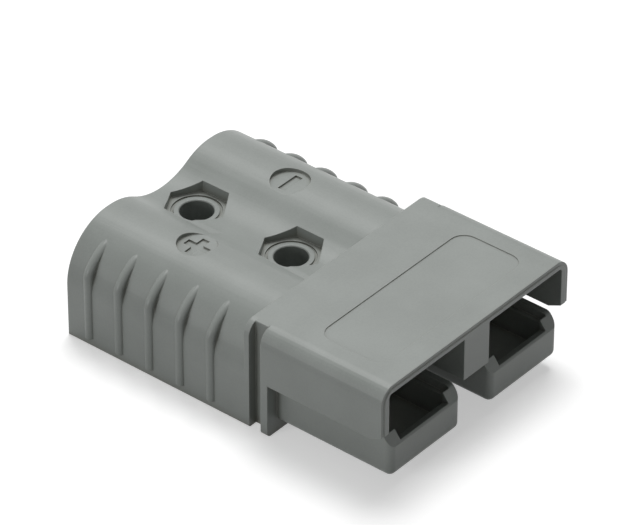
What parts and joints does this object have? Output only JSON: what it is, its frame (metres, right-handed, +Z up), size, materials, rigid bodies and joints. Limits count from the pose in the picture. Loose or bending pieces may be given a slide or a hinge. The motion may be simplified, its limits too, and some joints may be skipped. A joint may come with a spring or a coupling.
{
  "type": "genderless power connector",
  "caption": "Grey two-pole genderless power connector half with a hooded front, two contact boxes, ribbed sides and two nut-pocket mounting holes.",
  "frame": {"origin": "middle of the length and width, on the resting face", "axes": "+X across the poles towards the minus pole, +Y from the mating face to the cable end, +Z up from the resting face to the hood's top"},
  "size_m": [0.0506, 0.07, 0.0213],
  "materials": {
    "housing_plastic": "moulded, satin grey",
    "contact_metal": "silver-plated copper alloy",
    "spring_steel": "satin"
  },
  "bodies": {
    "root": {"housing": "housing_plastic", "contact_left": "contact_metal", "contact_right": "contact_metal", "spring_left": "spring_steel", "spring_right": "spring_steel"}
  },
  "joints": []
}
